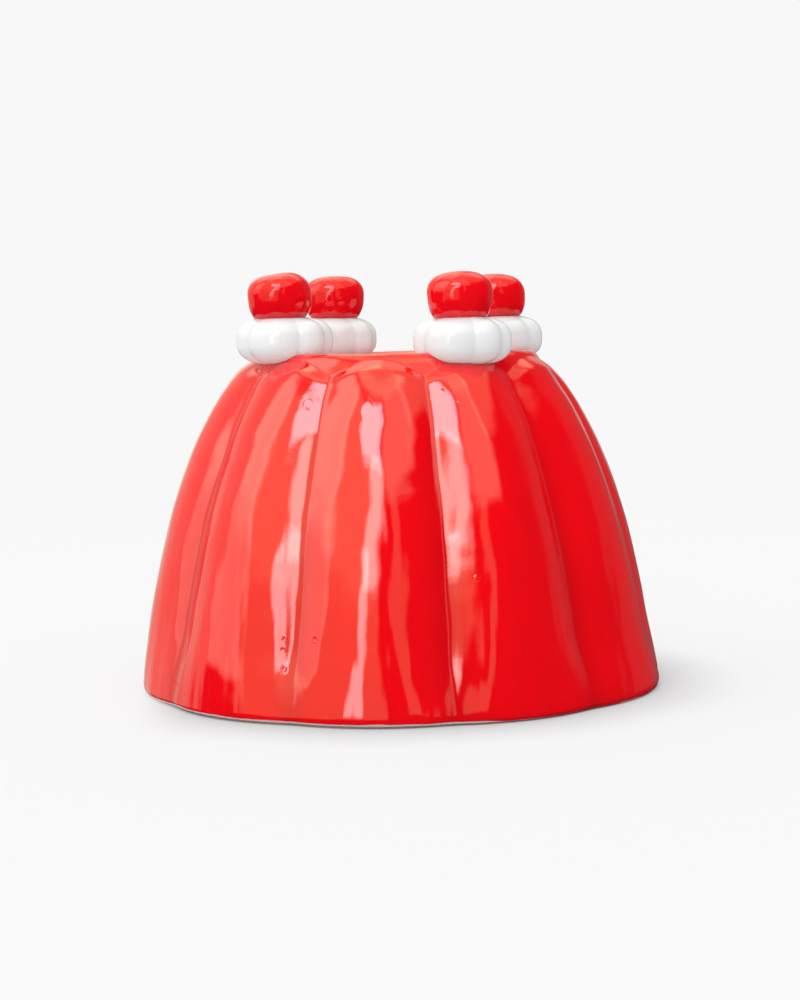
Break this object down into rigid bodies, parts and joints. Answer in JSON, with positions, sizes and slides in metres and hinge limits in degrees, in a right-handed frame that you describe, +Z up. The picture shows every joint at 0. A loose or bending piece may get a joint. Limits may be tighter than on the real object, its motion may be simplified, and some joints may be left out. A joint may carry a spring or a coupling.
{
  "type": "moulded jelly",
  "caption": "Moulded jelly in glazed ceramic: a fluted dome with a sunk top, scalloped cream dollops round its shoulder and a cherry on each.",
  "frame": {"origin": "middle of the flat underside, on the dome's axis", "axes": "+Z up along the dome's axis, -Y the front, +X to the right seen from the front"},
  "size_m": [0.1999, 0.1991, 0.1585],
  "materials": {
    "red_glaze": "bright red glossy glaze on white earthenware, bare clay at the foot",
    "cherry_glaze": "deep red glossy glaze",
    "cream_glaze": "glossy white glaze"
  },
  "bodies": {
    "root": {"jelly": "red_glaze", "cream_front_left": "cream_glaze", "cream_front_right": "cream_glaze", "cream_back_right": "cream_glaze", "cream_back_left": "cream_glaze", "cherry_front_left": "cherry_glaze", "cherry_front_right": "cherry_glaze", "cherry_back_right": "cherry_glaze", "cherry_back_left": "cherry_glaze"}
  },
  "joints": []
}
